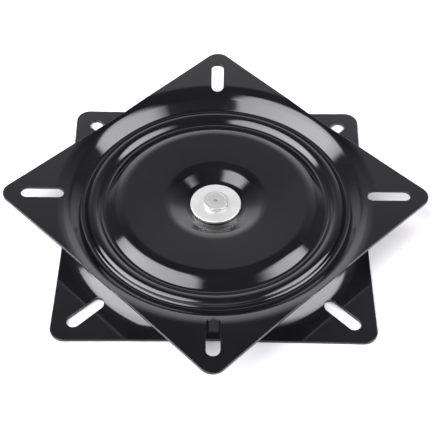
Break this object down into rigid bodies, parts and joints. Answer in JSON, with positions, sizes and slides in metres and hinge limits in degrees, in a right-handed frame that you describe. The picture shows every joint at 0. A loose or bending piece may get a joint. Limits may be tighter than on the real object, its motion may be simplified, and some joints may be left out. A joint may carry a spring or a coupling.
{
  "type": "seat swivel plate",
  "caption": "Two square pressed-steel plates, one turned 45 degrees on the other, that swivel on a ring of balls about a centre rivet; slotted corners for bolting to a seat and its base.",
  "frame": {"origin": "on the swivel axis, in the plane of the bottom plate's underside, which stands on the stool's base", "axes": "+Z along the swivel axis, up towards the seat; X and Y along the sides of the bottom plate, so that the top plate's corners point along X and Y at rest"},
  "size_m": [0.3496, 0.3496, 0.0315],
  "materials": {
    "top_black": "glossy black coating on pressed steel",
    "bottom_black": "glossy black coating on pressed steel",
    "zinc_washer": "zinc plated, satin",
    "rivet_steel": "zinc plated, formed head with turning rings",
    "sleeve_steel": "turned steel",
    "dark_nylon": "black nylon",
    "cage_plastic": "natural nylon",
    "ball_steel": "polished bearing steel"
  },
  "bodies": {
    "base": {"bottom_plate": "bottom_black", "spacer_washer": "dark_nylon", "spacer_sleeve": "sleeve_steel", "friction_washer": "dark_nylon", "rivet_washer": "zinc_washer", "centre_rivet": "rivet_steel"},
    "turning_plate": {"top_plate": "top_black"},
    "cage": {"ball_cage": "cage_plastic"},
    "ball_01_body": {"ball_01": "ball_steel"},
    "ball_02_body": {"ball_02": "ball_steel"},
    "ball_03_body": {"ball_03": "ball_steel"},
    "ball_04_body": {"ball_04": "ball_steel"},
    "ball_05_body": {"ball_05": "ball_steel"},
    "ball_06_body": {"ball_06": "ball_steel"},
    "ball_07_body": {"ball_07": "ball_steel"},
    "ball_08_body": {"ball_08": "ball_steel"},
    "ball_09_body": {"ball_09": "ball_steel"},
    "ball_10_body": {"ball_10": "ball_steel"},
    "ball_11_body": {"ball_11": "ball_steel"},
    "ball_12_body": {"ball_12": "ball_steel"},
    "ball_13_body": {"ball_13": "ball_steel"},
    "ball_14_body": {"ball_14": "ball_steel"},
    "ball_15_body": {"ball_15": "ball_steel"},
    "ball_16_body": {"ball_16": "ball_steel"},
    "ball_17_body": {"ball_17": "ball_steel"},
    "ball_18_body": {"ball_18": "ball_steel"},
    "ball_19_body": {"ball_19": "ball_steel"},
    "ball_20_body": {"ball_20": "ball_steel"},
    "ball_21_body": {"ball_21": "ball_steel"},
    "ball_22_body": {"ball_22": "ball_steel"},
    "ball_23_body": {"ball_23": "ball_steel"},
    "ball_24_body": {"ball_24": "ball_steel"}
  },
  "joints": [
    {"name": "top_swivel", "type": "hinge", "parent": "base", "child": "turning_plate", "pos_m": [0, 0, 0.01575], "axis": [0, 0, 1], "continuous": true},
    {"name": "cage_orbit", "type": "hinge", "parent": "base", "child": "cage", "pos_m": [0, 0, 0.01575], "axis": [0, 0, 1], "continuous": true},
    {"name": "ball_01_roll", "type": "hinge", "parent": "cage", "child": "ball_01_body", "pos_m": [0.1012, 0, 0.01575], "axis": [1, 0, 0], "continuous": true},
    {"name": "ball_02_roll", "type": "hinge", "parent": "cage", "child": "ball_02_body", "pos_m": [0.09775, 0.02619, 0.01575], "axis": [0.9659, 0.2588, 0], "continuous": true},
    {"name": "ball_03_roll", "type": "hinge", "parent": "cage", "child": "ball_03_body", "pos_m": [0.08764, 0.0506, 0.01575], "axis": [0.866, 0.5, 0], "continuous": true},
    {"name": "ball_04_roll", "type": "hinge", "parent": "cage", "child": "ball_04_body", "pos_m": [0.07156, 0.07156, 0.01575], "axis": [0.7071, 0.7071, 0], "continuous": true},
    {"name": "ball_05_roll", "type": "hinge", "parent": "cage", "child": "ball_05_body", "pos_m": [0.0506, 0.08764, 0.01575], "axis": [0.5, 0.866, 0], "continuous": true},
    {"name": "ball_06_roll", "type": "hinge", "parent": "cage", "child": "ball_06_body", "pos_m": [0.02619, 0.09775, 0.01575], "axis": [0.2588, 0.9659, 0], "continuous": true},
    {"name": "ball_07_roll", "type": "hinge", "parent": "cage", "child": "ball_07_body", "pos_m": [0, 0.1012, 0.01575], "axis": [0, 1, 0], "continuous": true},
    {"name": "ball_08_roll", "type": "hinge", "parent": "cage", "child": "ball_08_body", "pos_m": [-0.02619, 0.09775, 0.01575], "axis": [-0.2588, 0.9659, 0], "continuous": true},
    {"name": "ball_09_roll", "type": "hinge", "parent": "cage", "child": "ball_09_body", "pos_m": [-0.0506, 0.08764, 0.01575], "axis": [-0.5, 0.866, 0], "continuous": true},
    {"name": "ball_10_roll", "type": "hinge", "parent": "cage", "child": "ball_10_body", "pos_m": [-0.07156, 0.07156, 0.01575], "axis": [-0.7071, 0.7071, 0], "continuous": true},
    {"name": "ball_11_roll", "type": "hinge", "parent": "cage", "child": "ball_11_body", "pos_m": [-0.08764, 0.0506, 0.01575], "axis": [-0.866, 0.5, 0], "continuous": true},
    {"name": "ball_12_roll", "type": "hinge", "parent": "cage", "child": "ball_12_body", "pos_m": [-0.09775, 0.02619, 0.01575], "axis": [-0.9659, 0.2588, 0], "continuous": true},
    {"name": "ball_13_roll", "type": "hinge", "parent": "cage", "child": "ball_13_body", "pos_m": [-0.1012, 0, 0.01575], "axis": [-1, 0, 0], "continuous": true},
    {"name": "ball_14_roll", "type": "hinge", "parent": "cage", "child": "ball_14_body", "pos_m": [-0.09775, -0.02619, 0.01575], "axis": [-0.9659, -0.2588, 0], "continuous": true},
    {"name": "ball_15_roll", "type": "hinge", "parent": "cage", "child": "ball_15_body", "pos_m": [-0.08764, -0.0506, 0.01575], "axis": [-0.866, -0.5, 0], "continuous": true},
    {"name": "ball_16_roll", "type": "hinge", "parent": "cage", "child": "ball_16_body", "pos_m": [-0.07156, -0.07156, 0.01575], "axis": [-0.7071, -0.7071, 0], "continuous": true},
    {"name": "ball_17_roll", "type": "hinge", "parent": "cage", "child": "ball_17_body", "pos_m": [-0.0506, -0.08764, 0.01575], "axis": [-0.5, -0.866, 0], "continuous": true},
    {"name": "ball_18_roll", "type": "hinge", "parent": "cage", "child": "ball_18_body", "pos_m": [-0.02619, -0.09775, 0.01575], "axis": [-0.2588, -0.9659, 0], "continuous": true},
    {"name": "ball_19_roll", "type": "hinge", "parent": "cage", "child": "ball_19_body", "pos_m": [0, -0.1012, 0.01575], "axis": [0, -1, 0], "continuous": true},
    {"name": "ball_20_roll", "type": "hinge", "parent": "cage", "child": "ball_20_body", "pos_m": [0.02619, -0.09775, 0.01575], "axis": [0.2588, -0.9659, 0], "continuous": true},
    {"name": "ball_21_roll", "type": "hinge", "parent": "cage", "child": "ball_21_body", "pos_m": [0.0506, -0.08764, 0.01575], "axis": [0.5, -0.866, 0], "continuous": true},
    {"name": "ball_22_roll", "type": "hinge", "parent": "cage", "child": "ball_22_body", "pos_m": [0.07156, -0.07156, 0.01575], "axis": [0.7071, -0.7071, 0], "continuous": true},
    {"name": "ball_23_roll", "type": "hinge", "parent": "cage", "child": "ball_23_body", "pos_m": [0.08764, -0.0506, 0.01575], "axis": [0.866, -0.5, 0], "continuous": true},
    {"name": "ball_24_roll", "type": "hinge", "parent": "cage", "child": "ball_24_body", "pos_m": [0.09775, -0.02619, 0.01575], "axis": [0.9659, -0.2588, 0], "continuous": true}
  ],
  "couplings": [
    {"joint": "cage_orbit", "follows": "top_swivel", "ratio": 0.5},
    {"joint": "ball_01_roll", "follows": "top_swivel", "ratio": -10.12},
    {"joint": "ball_02_roll", "follows": "top_swivel", "ratio": -10.12},
    {"joint": "ball_03_roll", "follows": "top_swivel", "ratio": -10.12},
    {"joint": "ball_04_roll", "follows": "top_swivel", "ratio": -10.12},
    {"joint": "ball_05_roll", "follows": "top_swivel", "ratio": -10.12},
    {"joint": "ball_06_roll", "follows": "top_swivel", "ratio": -10.12},
    {"joint": "ball_07_roll", "follows": "top_swivel", "ratio": -10.12},
    {"joint": "ball_08_roll", "follows": "top_swivel", "ratio": -10.12},
    {"joint": "ball_09_roll", "follows": "top_swivel", "ratio": -10.12},
    {"joint": "ball_10_roll", "follows": "top_swivel", "ratio": -10.12},
    {"joint": "ball_11_roll", "follows": "top_swivel", "ratio": -10.12},
    {"joint": "ball_12_roll", "follows": "top_swivel", "ratio": -10.12},
    {"joint": "ball_13_roll", "follows": "top_swivel", "ratio": -10.12},
    {"joint": "ball_14_roll", "follows": "top_swivel", "ratio": -10.12},
    {"joint": "ball_15_roll", "follows": "top_swivel", "ratio": -10.12},
    {"joint": "ball_16_roll", "follows": "top_swivel", "ratio": -10.12},
    {"joint": "ball_17_roll", "follows": "top_swivel", "ratio": -10.12},
    {"joint": "ball_18_roll", "follows": "top_swivel", "ratio": -10.12},
    {"joint": "ball_19_roll", "follows": "top_swivel", "ratio": -10.12},
    {"joint": "ball_20_roll", "follows": "top_swivel", "ratio": -10.12},
    {"joint": "ball_21_roll", "follows": "top_swivel", "ratio": -10.12},
    {"joint": "ball_22_roll", "follows": "top_swivel", "ratio": -10.12},
    {"joint": "ball_23_roll", "follows": "top_swivel", "ratio": -10.12},
    {"joint": "ball_24_roll", "follows": "top_swivel", "ratio": -10.12}
  ]
}
